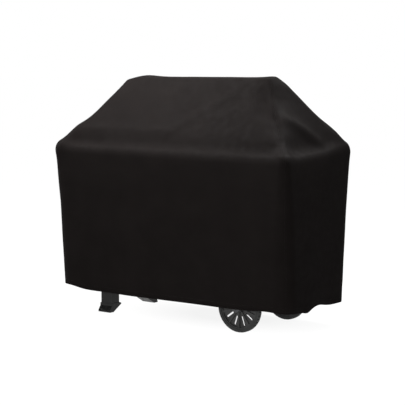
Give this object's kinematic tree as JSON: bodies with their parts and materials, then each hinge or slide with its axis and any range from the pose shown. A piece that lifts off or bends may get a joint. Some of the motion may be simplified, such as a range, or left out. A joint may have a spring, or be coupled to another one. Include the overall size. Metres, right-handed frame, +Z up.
{
  "type": "grill cover",
  "caption": "Fitted black fabric cover with a hipped roof, standing over a plain wheeled grill; the cover lifts off and the wheels turn.",
  "frame": {"origin": "on the floor, under the middle of the cover", "axes": "+X along the grill towards its wheels, +Y from front to back, +Z up"},
  "size_m": [1.45, 0.61, 1.228],
  "materials": {
    "cover_cloth": "matt woven polyester, coated inside",
    "cover_hem": "matt, turned up and stitched twice",
    "seam_binding": "matt woven tape",
    "frame_paint": "satin powder coat",
    "foot_plastic": "fine grained",
    "shelf_paint": "satin powder coat",
    "wheel_tyre": "hard moulded tread",
    "wheel_rim": "fine grained",
    "hub_cap": "satin",
    "zinc_steel": "bright zinc plate",
    "firebox_paint": "matt heat-proof paint",
    "hood_enamel": "gloss enamel",
    "handle_steel": "brushed along its length",
    "fitting_paint": "satin",
    "table_paint": "satin powder coat"
  },
  "bodies": {
    "grill": {"axle": "zinc_steel", "axle_push_nuts": "zinc_steel", "axle_washers": "zinc_steel", "back_left_foot": "foot_plastic", "back_left_leg": "frame_paint", "back_right_leg": "frame_paint", "back_top_rail": "frame_paint", "bottom_shelf": "shelf_paint", "firebox": "firebox_paint", "front_left_foot": "foot_plastic", "front_left_leg": "frame_paint", "front_right_leg": "frame_paint", "front_top_rail": "frame_paint", "hood": "hood_enamel", "hood_handle": "handle_steel", "hood_handle_posts": "fitting_paint", "hood_hinges": "fitting_paint", "left_cross_rail": "frame_paint", "left_side_table": "table_paint", "left_table_brackets": "frame_paint", "leg_bolts": "zinc_steel", "right_cross_rail": "frame_paint", "right_side_table": "table_paint", "right_table_brackets": "frame_paint"},
    "cover": {"back_hem": "cover_hem", "back_left_seam_binding": "seam_binding", "back_right_seam_binding": "seam_binding", "body_back_drop": "cover_cloth", "body_back_slope": "cover_cloth", "body_front_drop": "cover_cloth", "body_front_slope": "cover_cloth", "body_top": "cover_cloth", "front_hem": "cover_hem", "front_left_seam_binding": "seam_binding", "front_right_seam_binding": "seam_binding", "left_end_drop": "cover_cloth", "left_end_slope": "cover_cloth", "left_hem": "cover_hem", "right_end_drop": "cover_cloth", "right_end_slope": "cover_cloth", "right_hem": "cover_hem", "top_left_seam_binding": "seam_binding", "top_right_seam_binding": "seam_binding"},
    "front_wheel": {"front_hub_cap": "hub_cap", "front_wheel_rim": "wheel_rim", "front_wheel_tyre": "wheel_tyre"},
    "back_wheel": {"back_hub_cap": "hub_cap", "back_wheel_rim": "wheel_rim", "back_wheel_tyre": "wheel_tyre"}
  },
  "joints": [
    {"name": "cover_lift", "type": "slide", "parent": "grill", "child": "cover", "axis": [0, 0, 1], "range_m": [0, 1.15]},
    {"name": "front_wheel_spin", "type": "hinge", "parent": "grill", "child": "front_wheel", "pos_m": [0.401, -0.205, 0.122], "axis": [0, 1, 0], "continuous": true},
    {"name": "back_wheel_spin", "type": "hinge", "parent": "grill", "child": "back_wheel", "pos_m": [0.401, 0.205, 0.122], "axis": [0, 1, 0], "continuous": true}
  ]
}
